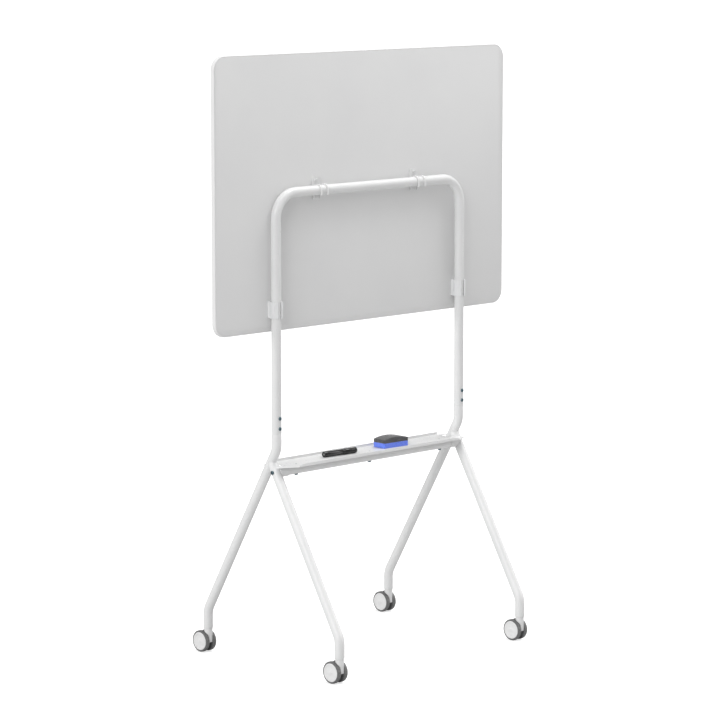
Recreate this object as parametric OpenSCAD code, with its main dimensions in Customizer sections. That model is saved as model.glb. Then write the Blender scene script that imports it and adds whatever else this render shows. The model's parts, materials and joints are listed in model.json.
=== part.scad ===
// Rolling whiteboard: a rounded board hung on a tubular hoop, two A-shaped leg frames
// joined by a crossbar with a pen tray, and four twin-wheel swivel casters.
// Origin: on the floor under the middle of the bounding box. +Z up, the writing face looks to -Y.
// Left is -X and right is +X for a person who stands in front of the writing face.

/* [Board] */
// Width of the board
board_w = 1200; // [1000:10:1400]
// Height of the board
board_h = 796; // [700:1:840]
// Thickness of the board
board_t = 15.3; // [12:0.1:17]
// Radius of the board's corners
board_corner_r = 68; // [20:1:90]
// Height of the board's lower edge above the floor
board_bottom = 990; // [940:1:1010]
// Thickness of the steel writing sheet and of the back panel
skin_t = 0.8; // [0.4:0.1:1.2]
// Thickness of the edge band
band_t = 1.2; // [0.8:0.1:2]

/* [Tubes] */
// Outer diameter of every tube
tube_d = 28.6; // [25:0.1:32]
// Wall thickness of the tubes
tube_wall = 1.5; // [1.2:0.1:2]
// Distance between the centrelines of the two uprights
upright_span = 766.4; // [700:0.1:800]
// Height of the hoop's top bar
bar_height = 1389.3; // [1350:0.1:1420]
// Centreline radius of the hoop's bends
hoop_bend_r = 75; // [60:1:90]
// Height of the seam between hoop and leg frame
seam_height = 694; // [690:1:700]
// Distance the upright stands behind the middle plane of the leg frame
upright_offset = 20.8; // [18:0.1:24]

/* [Leg frames] */
// Angle between a leg and the vertical
leg_angle = 30; // [28:0.5:32]
// Distance between a front foot and a rear foot
foot_span = 557; // [520:1:580]
// Height of the bend above each foot
foot_bend_height = 129.5; // [125:0.5:140]
// Height of the lower end of each leg tube
leg_end_height = 76; // [75:0.5:78]
// Centreline radius of the leg bends
leg_bend_r = 60; // [50:1:65]

/* [Crossbar and tray] */
// Height of the crossbar's axis
crossbar_height = 581.5; // [578:0.1:584]
// Length of the tray, with its end tabs
tray_length = 776; // [760:1:790]
// Distance from the crossbar's axis to the tray's front lip
tray_front = 62.7; // [58:0.1:66]
// Distance from the crossbar's axis to the tray's rear lip
tray_rear = 52.3; // [48:0.1:56]
// Height of the tray's lips, measured from its underside
lip_height = 9.6; // [8:0.1:14]
// Thickness of the tray's sheet
sheet_t = 1.4; // [1:0.1:2]

/* [Casters] */
// Diameter of the wheels over their tyres
wheel_d = 64.8; // [60:0.1:65]
// Width over both wheels of one caster
caster_w = 41.4; // [38:0.1:44]
// Width of one wheel
wheel_w = 13.9; // [12:0.1:14]
// Distance from the swivel axis back to the axle
trail = 17.1; // [15:0.1:20]
// Radius of the swivel stem
stem_r = 4; // [3.5:0.1:5]

/* [Marker and eraser] */
// Length of the marker
marker_length = 126; // [120:1:135]
// Diameter of the marker's cap
marker_d = 17.6; // [15:0.1:18]
// Length of the eraser
eraser_length = 97; // [90:1:105]
// Depth of the eraser
eraser_depth = 50; // [45:1:52]

/* [Hidden] */
$fn = 72;
FEET = ["front_left", "front_right", "rear_left", "rear_right"];
SIDES = ["left", "right"];
CASTER_PIECES = ["socket", "stem", "housing", "axle",
                 "outer_hub", "outer_tyre", "inner_hub", "inner_tyre"];

// Colours
white_paint = [0.93, 0.93, 0.93];
panel_grey = [0.82, 0.82, 0.82];
clip_grey = [0.80, 0.81, 0.82];
tyre_grey = [0.42, 0.42, 0.43];
screw_steel = [0.25, 0.30, 0.33];
pen_black = [0.08, 0.08, 0.08];
felt_blue = [0.22, 0.30, 0.86];
grip_grey = [0.27, 0.27, 0.27];

// A small length that carries a cutting tool past the face it cuts
past = 1;
// Free space between faces of different moving bodies
gap = 0.3;
// Radial clearance of a running fit
run_fit = 0.05;

// A bend is this much fuller than the straight stretches and laps over them by this angle,
// so the two never meet in one tangent face
bend_swell = 0.25;
bend_lap = 1;

// Stand
tube_r = tube_d / 2;
bore_r = tube_r - tube_wall;
upright_x = upright_span / 2;
frame_y = trail;
upright_y = frame_y + upright_offset;
front_foot_y = frame_y - foot_span / 2;
rear_foot_y = frame_y + foot_span / 2;
knee_z = foot_bend_height + (foot_span / 2 + upright_offset) / tan(leg_angle);
crossing_z = foot_bend_height + foot_span / 2 / tan(leg_angle);
sleeve_r = bore_r - run_fit;
sleeve_wall = 1.8;
sleeve_low = seam_height - 26;
sleeve_high = seam_height + 66;
joint_screw_heights = [710, 740];
screw_r = 2.5;
screw_head_r = 5.5;
screw_head_t = 3;
weld_gap = 0.05;

// Crossbar, tray and their fasteners
crossbar_y = frame_y + (crossing_z - crossbar_height) * tan(leg_angle);
crossbar_end = upright_x - 19;
saddle_r = tube_r + 2;
saddle_inner_x = upright_x - 43;
saddle_outer_x = upright_x - 5;
bolt_r = 3;
bolt_head_r = 6;
bolt_head_t = 3.4;
tray_screw_x = 302.5;
tray_z = crossbar_height + tube_r;
tray_floor = tray_z + sheet_t;
tray_front_y = crossbar_y - tray_front;
tray_rear_y = crossbar_y + tray_rear;
tray_bend_r = 2.6;
front_lip_x = 357;
rear_lip_x = 315;
rear_taper_x = 345;
tab_lip_h = 4;
tab_front_cut = 13;
tab_rear_cut = 27;
leg_slot_x = 352;
leg_slot_r = 4;
leg_slot_half = 28;
leg_slot_reach = 60;

// Board and its fittings
board_back = upright_y - tube_r - 7;
board_front = board_back - board_t;
board_mid_z = board_bottom + board_h / 2;
bracket_x = 203;
prong_pitch = 27;
prong_w = 4.5;
prong_t = 4;
bracket_t = 2.7;
bracket_low = bar_height - 30;
bracket_high = bar_height + 38;
hook_r = tube_r + gap;
hook_screw_heights = [bar_height - 21, bar_height + 28];
clip_height = 48;
clip_mid_z = 1055;
clip_r = tube_r + gap;
clip_wall = 3.8;
clip_half_opening = 30;
clip_lip_r = 2.6;
clip_screw_heights = [clip_mid_z - 15, clip_mid_z + 15];
// The clip's screw heads sit in recesses behind the tube
board_screw_head_t = 2.4;
clip_screw_seat = upright_y - clip_r - board_screw_head_t - 0.5;
board_screw_r = 2;
board_screw_head_r = 4.5;
board_screw_depth = 9;

// Casters
wheel_r = wheel_d / 2;
tyre_t = 5.2;
hub_r = wheel_r - tyre_t;
axle_r = 3;
web_t = 12;
web_boss_r = 8;
cover_r = 12;
cover_t = 1.6;
wheel_inner_x = caster_w / 2 - wheel_w;
side_step = 0.3;
socket_collar_r = bore_r + 0.6;
socket_collar_t = 4;
socket_top = leg_end_height + 34;
housing_top = leg_end_height - socket_collar_t - 0.6;
neck_r = 12.6;

// Marker and eraser
marker_pos = [115.2, 25.5];
marker_turn = -3.5;
eraser_pos = [-105.8, 20.5];
eraser_turn = -3;
eraser_pad_h = 15;
eraser_grip_h = 17;
eraser_edge_r = 3;

// Geometry helpers

function unit(v) = v / norm(v);
function left_of(v) = [-v[1], v[0]];
function cross2(a, b) = a[0] * b[1] - a[1] * b[0];
function turn_angle(p, i) = let (a = unit(p[i] - p[i - 1]), b = unit(p[i + 1] - p[i]))
    atan2(cross2(a, b), a * b);
function trim_length(p, i, r) = (i == 0 || i == len(p) - 1) ? 0 : r * tan(abs(turn_angle(p, i)) / 2);

// Cylinder in the XY plane from point a to point b
module rod(a, b, r) {
    d = b - a;
    translate([a[0], a[1], 0]) rotate([0, 90, atan2(d[1], d[0])]) cylinder(r = r, h = norm(d));
}

// Round rod in the XY plane along the points p, bent to centreline radius bend_r
module bent_rod(p, bend_r, r) {
    d = p[1] - p[0];
    translate([p[0][0], p[0][1], 0]) rotate([0, 0, atan2(d[1], d[0])]) stretch(p, 0, 1, bend_r, r);
}

// Straight stretch i along +X with the bend after it. The rest of the rod is drawn from the
// bend's far end. hand is -1 where an earlier bend has mirrored the drawing.
module stretch(p, i, hand, bend_r, r) {
    h = norm(p[i + 1] - p[i]) - trim_length(p, i, bend_r) - trim_length(p, i + 1, bend_r);
    rotate([0, 90, 0]) cylinder(r = r, h = h);
    if (i < len(p) - 2) {
        turn = hand * turn_angle(p, i + 1);
        translate([h, 0, 0]) flip_y(turn < 0) translate([0, bend_r, 0]) {
            rotate([0, 0, -90 - bend_lap]) rotate_extrude(angle = abs(turn) + 2 * bend_lap)
                translate([bend_r, 0]) circle(r = r + bend_swell);
            rotate([0, 0, abs(turn)]) translate([0, -bend_r, 0])
                stretch(p, i + 1, turn < 0 ? -hand : hand, bend_r, r);
        }
    }
}

module flip_y(flip) {
    if (flip) mirror([0, 1, 0]) children();
    else children();
}

module bent_tube(p, bend_r) {
    difference() {
        bent_rod(p, bend_r, tube_r);
        bent_rod(lengthened(p), bend_r, bore_r);
    }
}

// The same points with both ends carried on past the tube's cut faces
function lengthened(p) = let (n = len(p) - 1) concat(
    [p[0] - unit(p[1] - p[0]) * past],
    [for (i = [1 : 1 : n - 1]) p[i]],
    [p[n] + unit(p[n] - p[n - 1]) * past]);

// Puts a shape drawn in the XY plane into the plane x = const: first axis to Y, second to Z
module side_plane(x) {
    translate([x, 0, 0]) rotate([90, 0, 90]) children();
}

// Puts a shape drawn in the XY plane into the plane y = const: first axis to X, second to Z.
// Its thickness grows towards -Y.
module front_plane(y) {
    translate([0, y, 0]) rotate([90, 0, 0]) children();
}

module rod_x(x0, x1, y, z, r) {
    translate([x0, y, z]) rotate([0, 90, 0]) cylinder(r = r, h = x1 - x0);
}

module rod_y(x, y0, y1, z, r) {
    translate([x, y0, z]) rotate([-90, 0, 0]) cylinder(r = r, h = y1 - y0);
}

module rounded_rect(w, h, r) {
    square([w - 2 * r, h], center = true);
    square([w, h - 2 * r], center = true);
    for (sx = [-1, 1], sy = [-1, 1]) translate([sx * (w / 2 - r), sy * (h / 2 - r)]) circle(r = r);
}

function side_sign(side) = side == "left" ? -1 : 1;

// Hoop and leg frames

module hoop_tube() {
    color(white_paint) difference() {
        front_plane(upright_y) bent_tube([[-upright_x, seam_height], [-upright_x, bar_height],
                                          [upright_x, bar_height], [upright_x, seam_height]], hoop_bend_r);
        for (s = [-1, 1], z = joint_screw_heights)
            rod_y(s * upright_x, upright_y, upright_y + tube_r + past, z, screw_r + 0.1);
    }
}

module front_leg(side) {
    color(white_paint) side_plane(side_sign(side) * upright_x)
        bent_tube([[upright_y, seam_height], [upright_y, knee_z],
                   [front_foot_y, foot_bend_height], [front_foot_y, leg_end_height]], leg_bend_r);
}

// The rear leg's upper end is shaped to sit against the front leg
module rear_leg(side) {
    x = side_sign(side) * upright_x;
    color(white_paint) difference() {
        side_plane(x) bent_tube([[frame_y, crossing_z], [rear_foot_y, foot_bend_height],
                                 [rear_foot_y, leg_end_height]], leg_bend_r);
        side_plane(x) rod([front_foot_y, foot_bend_height], [upright_y, knee_z], tube_r + weld_gap);
        rod_x(x - tube_d, x + tube_d, crossbar_y, crossbar_height, bolt_r + 0.2);
    }
}

module joint_sleeve(side) {
    color("lightgrey") translate([side_sign(side) * upright_x, upright_y, 0]) difference() {
        translate([0, 0, sleeve_low]) cylinder(r = sleeve_r, h = sleeve_high - sleeve_low);
        translate([0, 0, sleeve_low - past])
            cylinder(r = sleeve_r - sleeve_wall, h = sleeve_high - sleeve_low + 2 * past);
        for (z = joint_screw_heights) rod_y(0, 0, tube_r, z, screw_r);
    }
}

module joint_screws() {
    color(screw_steel) for (s = [-1, 1], z = joint_screw_heights) {
        x = s * upright_x;
        rod_y(x, upright_y + sleeve_r - sleeve_wall - 2, upright_y + tube_r, z, screw_r);
        translate([x, upright_y + tube_r, z]) rotate([-90, 0, 0]) button_head(screw_head_r, screw_head_t);
    }
}

// Round head with a domed top and a hexagonal socket, standing on z = 0
module button_head(r, t) {
    dome_r = (r * r + t * t) / (2 * t);
    difference() {
        intersection() {
            cylinder(r = r, h = t);
            translate([0, 0, t - dome_r]) sphere(r = dome_r);
        }
        translate([0, 0, t * 0.45]) cylinder(r = r * 0.42, h = t, $fn = 6);
    }
}

// Crossbar and tray

module crossbar() {
    color(white_paint) difference() {
        rod_x(-crossbar_end, crossbar_end, crossbar_y, crossbar_height, tube_r);
        rod_x(-crossbar_end - past, crossbar_end + past, crossbar_y, crossbar_height, bore_r);
        for (k = [-1, 0, 1]) translate([k * tray_screw_x, crossbar_y, crossbar_height - tube_d])
            cylinder(r = screw_r + 0.2, h = 2 * tube_d);
    }
}

// Cups over the crossbar's ends, shaped to sit against the rear legs and open under the tray
module crossbar_saddles() {
    color(white_paint) for (s = [-1, 1]) scale_x(s) difference() {
        rod_x(saddle_inner_x, saddle_outer_x, crossbar_y, crossbar_height, saddle_r);
        translate([saddle_inner_x - past, crossbar_y - tube_d, tray_z - gap])
            cube([leg_slot_x + past - saddle_inner_x, 2 * tube_d, tube_d]);
        rod_x(saddle_inner_x - past, crossbar_end, crossbar_y, crossbar_height, tube_r);
        side_plane(upright_x) rod([frame_y, crossing_z], [rear_foot_y, foot_bend_height], tube_r);
        rod_x(saddle_inner_x, saddle_outer_x + past, crossbar_y, crossbar_height, bolt_r);
    }
}

// Keeps or mirrors a shape across the plane x = 0
module scale_x(s) {
    if (s > 0) children();
    else mirror([1, 0, 0]) children();
}

module crossbar_bolts() {
    color(screw_steel) for (s = [-1, 1]) scale_x(s) {
        rod_x(crossbar_end - 12, upright_x + tube_r, crossbar_y, crossbar_height, bolt_r);
        translate([upright_x + tube_r, crossbar_y, crossbar_height]) rotate([0, 90, 0])
            button_head(bolt_head_r, bolt_head_t);
    }
}

// Cross-section of the tray's floor in the YZ plane
module floor_section() {
    translate([tray_front_y + tray_bend_r, tray_z])
        square([tray_rear_y - tray_front_y - 2 * tray_bend_r, sheet_t]);
}

// Cross-section of the lips, each with the bend that carries it on the floor's edge
module lip_section() {
    for (e = [[tray_front_y, 0], [tray_rear_y, 1]]) translate([e[0], tray_z]) mirror([e[1], 0]) {
        translate([0, tray_bend_r]) square([sheet_t, lip_height - tray_bend_r]);
        intersection() {
            translate([tray_bend_r, tray_bend_r]) difference() {
                circle(r = tray_bend_r);
                circle(r = tray_bend_r - sheet_t);
            }
            square([tray_bend_r, tray_bend_r]);
        }
    }
}

// Slot in the end of the tray that the two leg tubes pass through
module leg_slot_plan() {
    y0 = frame_y - leg_slot_half;
    y1 = frame_y + leg_slot_half;
    translate([leg_slot_x + leg_slot_r, y0]) square([leg_slot_reach, y1 - y0]);
    translate([leg_slot_x, y0 + leg_slot_r]) square([leg_slot_reach, y1 - y0 - 2 * leg_slot_r]);
    for (y = [y0 + leg_slot_r, y1 - leg_slot_r]) translate([leg_slot_x + leg_slot_r, y]) circle(r = leg_slot_r);
}

// Corner cuts that narrow the tray's end tabs, seen from above
module tab_corner_plan() {
    end = tray_length / 2;
    rear = tray_rear_y;
    front = tray_front_y;
    polygon([[rear_taper_x - 10, rear + past], [rear_taper_x - 10, rear], [end, rear - tab_rear_cut],
             [end + past, rear - tab_rear_cut], [end + past, rear + past]]);
    polygon([[front_lip_x + 6, front - past], [front_lip_x + 6, front], [end, front + tab_front_cut],
             [end + past, front + tab_front_cut], [end + past, front - past]]);
}

// A section of the tray drawn out to its full length, with its ends cut to shape
module tray_sheet() {
    end = tray_length / 2;
    difference() {
        translate([-end, 0, 0]) rotate([90, 0, 90]) linear_extrude(height = tray_length) children();
        for (s = [-1, 1]) scale_x(s) {
            translate([0, 0, tray_z - past]) linear_extrude(height = lip_height + 2 * past) {
                leg_slot_plan();
                tab_corner_plan();
            }
            // front lip stops short of the leg slot
            translate([front_lip_x, tray_front_y - past, tray_floor + 0.6])
                cube([leg_slot_reach, 8, lip_height]);
            // rear lip slopes down to the height of the tab's edge
            front_plane(tray_rear_y + past) linear_extrude(height = 8)
                polygon([[rear_lip_x, tray_z + lip_height], [rear_taper_x, tray_z + tab_lip_h],
                         [end + past, tray_z + tab_lip_h], [end + past, tray_z + lip_height + past],
                         [rear_lip_x, tray_z + lip_height + past]]);
        }
    }
}

module tray() {
    color(white_paint) difference() {
        tray_sheet() floor_section();
        for (k = [-1, 0, 1]) translate([k * tray_screw_x, crossbar_y, tray_z - past])
            cylinder(r = screw_r, h = sheet_t + 2 * past);
    }
}

module tray_lips() {
    color(white_paint) tray_sheet() lip_section();
}

module tray_screws() {
    low = crossbar_height - tube_r;
    color(screw_steel) for (k = [-1, 0, 1]) translate([k * tray_screw_x, crossbar_y, 0]) {
        translate([0, 0, low]) cylinder(r = screw_r, h = tray_floor - low);
        translate([0, 0, low]) mirror([0, 0, 1]) button_head(screw_head_r, screw_head_t + 1);
    }
}

// Board

module board_plan(inset) {
    translate([0, board_mid_z])
        rounded_rect(board_w - 2 * inset, board_h - 2 * inset, board_corner_r - inset);
}

// Holes in the board's back for the screws of its brackets and clips
module board_screw_holes(depth) {
    for (s = [-1, 1]) {
        for (z = hook_screw_heights)
            rod_y(s * bracket_x, board_back - depth, board_back + past, z, board_screw_r);
        for (z = clip_screw_heights)
            rod_y(s * upright_x, board_back - depth, board_back + past, z, board_screw_r);
    }
}

module board_core() {
    color("tan") difference() {
        front_plane(board_back - skin_t) linear_extrude(height = board_t - 2 * skin_t) board_plan(band_t);
        board_screw_holes(board_screw_depth);
    }
}

module writing_sheet() {
    color("white") front_plane(board_front + skin_t) linear_extrude(height = skin_t) board_plan(band_t);
}

module back_panel() {
    color(panel_grey) difference() {
        front_plane(board_back) linear_extrude(height = skin_t) board_plan(band_t);
        board_screw_holes(skin_t + past);
    }
}

module edge_band() {
    color(white_paint) front_plane(board_back) linear_extrude(height = board_t) difference() {
        board_plan(0);
        board_plan(band_t);
    }
}

// Hook bracket: a plate on the board's back and two prongs that hang over the top bar

module prong_profile() {
    translate([upright_y, bar_height]) {
        intersection() {
            difference() {
                circle(r = hook_r + prong_t);
                circle(r = hook_r);
            }
            translate([-tube_d, 0]) square([2 * tube_d, tube_d]);
        }
        translate([hook_r, -tube_r]) square([prong_t, tube_r]);
        translate([-hook_r - prong_t, -26]) square([prong_t, 26]);
    }
}

module hook_bracket(side) {
    x = side_sign(side) * bracket_x;
    w = prong_pitch + prong_w;
    color(white_paint) difference() {
        union() {
            translate([x, 0, (bracket_low + bracket_high) / 2]) front_plane(board_back + bracket_t)
                linear_extrude(height = bracket_t) rounded_rect(w, bracket_high - bracket_low, 4);
            for (k = [-1, 1]) side_plane(x + k * prong_pitch / 2 - prong_w / 2)
                linear_extrude(height = prong_w) prong_profile();
        }
        for (z = hook_screw_heights)
            rod_y(x, board_back - past, board_back + bracket_t + past, z, board_screw_r);
    }
}

module board_screw(x, seat_y, z) {
    rod_y(x, board_back - board_screw_depth, seat_y, z, board_screw_r);
    translate([x, seat_y, z]) rotate([-90, 0, 0]) button_head(board_screw_head_r, board_screw_head_t);
}

module hook_screws() {
    color(white_paint) for (s = [-1, 1], z = hook_screw_heights)
        board_screw(s * bracket_x, board_back + bracket_t, z);
}

// Snap clip: an open ring round the upright, on a block screwed to the board's back

module clip_plan() {
    outer = clip_r + clip_wall;
    mid = clip_r + clip_wall / 2;
    difference() {
        union() {
            circle(r = outer);
            translate([-outer * 0.7, -(upright_y - board_back)]) square([outer * 1.4, outer]);
        }
        circle(r = clip_r);
        polygon([[0, 0], [-60 * sin(clip_half_opening), 60 * cos(clip_half_opening)],
                 [60 * sin(clip_half_opening), 60 * cos(clip_half_opening)]]);
    }
    for (s = [-1, 1]) translate([s * (mid + 0.9) * sin(clip_half_opening), (mid + 0.9) * cos(clip_half_opening)])
        circle(r = clip_lip_r);
}

module tube_clip(side) {
    x = side_sign(side) * upright_x;
    color(clip_grey) difference() {
        translate([x, upright_y, clip_mid_z - clip_height / 2]) linear_extrude(height = clip_height) clip_plan();
        for (z = clip_screw_heights) {
            rod_y(x, board_back - past, upright_y, z, board_screw_r);
            rod_y(x, clip_screw_seat, upright_y, z, board_screw_head_r + 0.2);
        }
    }
}

module clip_screws() {
    color(screw_steel) for (s = [-1, 1], z = clip_screw_heights)
        board_screw(s * upright_x, clip_screw_seat, z);
}

// Casters. Each is drawn about its swivel axis at x = 0, y = 0, with the axle trailing to -Y.

module socket() {
    difference() {
        union() {
            translate([0, 0, leg_end_height]) cylinder(r = bore_r, h = socket_top - leg_end_height);
            translate([0, 0, leg_end_height - socket_collar_t])
                cylinder(r = socket_collar_r, h = socket_collar_t);
        }
        translate([0, 0, leg_end_height - socket_collar_t - past])
            cylinder(r = stem_r + run_fit, h = socket_top - leg_end_height + socket_collar_t + 2 * past);
    }
}

module stem() {
    translate([0, 0, wheel_r + 16]) cylinder(r = stem_r, h = socket_top - wheel_r - 16);
}

// Web between the two wheels, seen from the side: a tongue under the neck and a boss round the axle
module web_profile() {
    translate([-trail, wheel_r]) circle(r = web_boss_r);
    polygon([[-neck_r, housing_top - 9], [neck_r - 1.2, housing_top - 9], [neck_r - 1.2, wheel_r - 1.5],
             [-trail + 2, wheel_r - web_boss_r + 0.3], [-trail - web_boss_r + 0.6, wheel_r + 3]]);
}

module housing() {
    difference() {
        union() {
            difference() {
                translate([0, 0, wheel_r]) cylinder(r = neck_r, h = housing_top - wheel_r);
                for (s = [-1, 1]) scale_x(s)
                    rod_x(web_t / 2, caster_w, -trail, wheel_r, wheel_r + 1.2);
            }
            side_plane(-web_t / 2) linear_extrude(height = web_t) web_profile();
        }
        translate([0, 0, wheel_r + 16]) cylinder(r = stem_r, h = housing_top);
        rod_x(-caster_w, caster_w, -trail, wheel_r, axle_r);
    }
}

module axle() {
    rod_x(-caster_w / 2 + 3.4, caster_w / 2 - 3.4, -trail, wheel_r, axle_r);
}

// Wheel pieces turn about the X axis: the profile's first axis is the radius, its second the
// distance from the caster's middle plane.

module spun(profile_side) {
    translate([0, -trail, wheel_r]) rotate([0, 90 * profile_side, 0]) rotate_extrude() children();
}

module hub_profile() {
    x0 = wheel_inner_x;
    x1 = caster_w / 2;
    difference() {
        translate([0, x0]) square([hub_r, x1 - x0]);
        // step that the cover on the inner side sits in
        translate([cover_r, x0 - past]) square([hub_r - cover_r + past, past + side_step + cover_t]);
        // bore for the axle, closed at the outer face
        translate([0, x0 - past]) square([axle_r + run_fit, x1 - x0 + past - 3]);
        // hollow behind the outer disc
        translate([7, x0 - past]) square([hub_r - 9.6, x1 - x0 + past - 3.6]);
        // shallow dish in the outer face
        translate([0, x1 - 1.1]) square([hub_r - 5.2, past + 1.1]);
        // bevel round the outer face
        polygon([[hub_r - 1.2, x1 + 0.01], [hub_r + 0.01, x1 - 1.2], [hub_r + 0.01, x1 + 0.01]]);
    }
    // small centre cap
    translate([0, x1 - 1.2]) square([4.2, 1]);
}

// Tread with a thin cover over the hub's inner side
module tyre_profile() {
    x0 = wheel_inner_x + side_step;
    x1 = caster_w / 2 - 0.9;
    round_r = 3;
    difference() {
        union() {
            translate([hub_r, x0]) square([tyre_t - round_r, x1 - x0]);
            translate([hub_r, x0 + round_r]) square([tyre_t, x1 - x0 - 2 * round_r]);
            for (x = [x0 + round_r, x1 - round_r]) translate([wheel_r - round_r, x]) circle(r = round_r);
        }
        translate([0, x0]) square([hub_r, x1 - x0]);
    }
    translate([cover_r, x0]) square([hub_r - cover_r + past, cover_t]);
}

function foot_pos(foot) = [
    (foot == "front_left" || foot == "rear_left" ? -1 : 1) * upright_x,
    foot == "front_left" || foot == "front_right" ? front_foot_y : rear_foot_y, 0];

// Which side of the caster faces away from the stand's middle
function outboard(foot) = foot_pos(foot)[0] < 0 ? -1 : 1;

module caster_piece(foot, piece) {
    out = outboard(foot);
    translate(foot_pos(foot)) {
        if (piece == "socket") color(white_paint) socket();
        if (piece == "stem") color("silver") stem();
        if (piece == "housing") color(white_paint) housing();
        if (piece == "axle") color("silver") axle();
        if (piece == "outer_hub") color(white_paint) spun(out) hub_profile();
        if (piece == "outer_tyre") color(tyre_grey) spun(out) tyre_profile();
        if (piece == "inner_hub") color(white_paint) spun(-out) hub_profile();
        if (piece == "inner_tyre") color(tyre_grey) spun(-out) tyre_profile();
    }
}

// Marker and eraser, lying on the tray

module on_tray(pos, turn) {
    translate([pos[0], pos[1], tray_floor + gap]) rotate([0, 0, turn]) children();
}

module marker_barrel() {
    r = marker_d / 2;
    color(pen_black) on_tray(marker_pos, marker_turn) translate([0, 0, r]) difference() {
        union() {
            rod_x(-marker_length / 2 + 46, marker_length / 2, 0, 0, r - 0.4);
            rod_x(-marker_length / 2 + 30, -marker_length / 2 + 46, 0, 0, r - 2);
            rod_x(-marker_length / 2 + 8, -marker_length / 2 + 30, 0, 0, 2.2);
        }
        rod_x(marker_length / 2 - 2.5, marker_length / 2 + past, 0, 0, r - 2.4);
    }
}

module marker_cap() {
    r = marker_d / 2;
    color(pen_black) on_tray(marker_pos, marker_turn) translate([0, 0, r]) difference() {
        union() {
            rod_x(-marker_length / 2 + 3, -marker_length / 2 + 46, 0, 0, r);
            translate([-marker_length / 2, 0, 0]) rotate([0, 90, 0]) cylinder(r1 = r - 2, r2 = r, h = 3);
        }
        rod_x(-marker_length / 2 + 4, -marker_length / 2 + 46 + past, 0, 0, r - 2);
    }
}

module eraser_pad() {
    color(felt_blue) on_tray(eraser_pos, eraser_turn)
        linear_extrude(height = eraser_pad_h) rounded_rect(eraser_length, eraser_depth, eraser_edge_r);
}

// Arched handle: flat underneath, its top a shallow cylinder about the Y axis
module eraser_grip() {
    arch_r = 180;
    color(grip_grey) on_tray(eraser_pos, eraser_turn) translate([0, 0, eraser_pad_h]) intersection() {
        linear_extrude(height = eraser_grip_h) rounded_rect(eraser_length, eraser_depth, eraser_edge_r);
        translate([0, -eraser_length, eraser_grip_h - arch_r]) rotate([-90, 0, 0])
            cylinder(r = arch_r, h = 2 * eraser_length);
    }
}

hoop_tube();
for (side = SIDES) {
    front_leg(side);
    rear_leg(side);
    joint_sleeve(side);
    hook_bracket(side);
    tube_clip(side);
}
joint_screws();
crossbar();
crossbar_saddles();
crossbar_bolts();
tray();
tray_lips();
tray_screws();
board_core();
writing_sheet();
back_panel();
edge_band();
hook_screws();
clip_screws();
marker_barrel();
marker_cap();
eraser_pad();
eraser_grip();
for (foot = FEET, piece = CASTER_PIECES)
    caster_piece(foot, piece);
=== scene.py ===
"""Looks for the rolling whiteboard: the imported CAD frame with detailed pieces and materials.

Everything is in metres in the row frame: +Z up, the floor at z = 0, the writing face looks to -Y.
"""

import json
import math

import bmesh
import bpy
from mathutils import Matrix, Vector, noise


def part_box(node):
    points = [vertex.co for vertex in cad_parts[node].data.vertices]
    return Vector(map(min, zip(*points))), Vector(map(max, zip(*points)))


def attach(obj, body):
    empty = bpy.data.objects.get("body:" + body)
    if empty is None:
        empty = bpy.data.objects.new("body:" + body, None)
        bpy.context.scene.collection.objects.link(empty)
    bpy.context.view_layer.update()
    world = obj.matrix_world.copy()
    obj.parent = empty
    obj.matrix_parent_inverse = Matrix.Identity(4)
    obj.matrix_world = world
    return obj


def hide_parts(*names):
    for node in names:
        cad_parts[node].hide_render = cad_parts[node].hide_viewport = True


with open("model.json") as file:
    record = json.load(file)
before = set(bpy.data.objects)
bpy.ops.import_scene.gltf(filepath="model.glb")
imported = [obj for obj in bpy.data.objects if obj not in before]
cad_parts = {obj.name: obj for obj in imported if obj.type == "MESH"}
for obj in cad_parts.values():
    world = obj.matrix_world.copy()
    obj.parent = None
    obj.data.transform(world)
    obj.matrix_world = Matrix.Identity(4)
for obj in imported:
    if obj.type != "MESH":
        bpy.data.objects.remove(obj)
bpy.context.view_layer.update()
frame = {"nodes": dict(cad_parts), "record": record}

MM = 0.001
X_AXIS = Vector((1, 0, 0))
Y_AXIS = Vector((0, 1, 0))
Z_AXIS = Vector((0, 0, 1))
FEET = ("front_left", "front_right", "rear_left", "rear_right")
SIDES = {"left": -1, "right": 1}


# ---------------------------------------------------------------- camera

CAMERA_AT = Vector((6.58135, 6.57460, 2.20082))
CAMERA_AIM = Vector((0.04281, 0.03790, 0.87524))
CAMERA_LENS = 158.05
CAMERA_SENSOR = 36


def add_camera():
    data = bpy.data.cameras.new("camera")
    data.lens = CAMERA_LENS
    data.sensor_width = CAMERA_SENSOR
    data.clip_end = 200
    camera = bpy.data.objects.new("camera", data)
    camera.location = CAMERA_AT
    camera.rotation_mode = "QUATERNION"
    camera.rotation_quaternion = (CAMERA_AIM - CAMERA_AT).to_track_quat("-Z", "Y")
    bpy.context.scene.collection.objects.link(camera)
    bpy.context.scene.camera = camera


add_camera()


# ---------------------------------------------------------------- sizes taken from the frame

def middle(node):
    low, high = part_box(node)
    return (low + high) / 2


def span(node):
    low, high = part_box(node)
    return high - low


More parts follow.
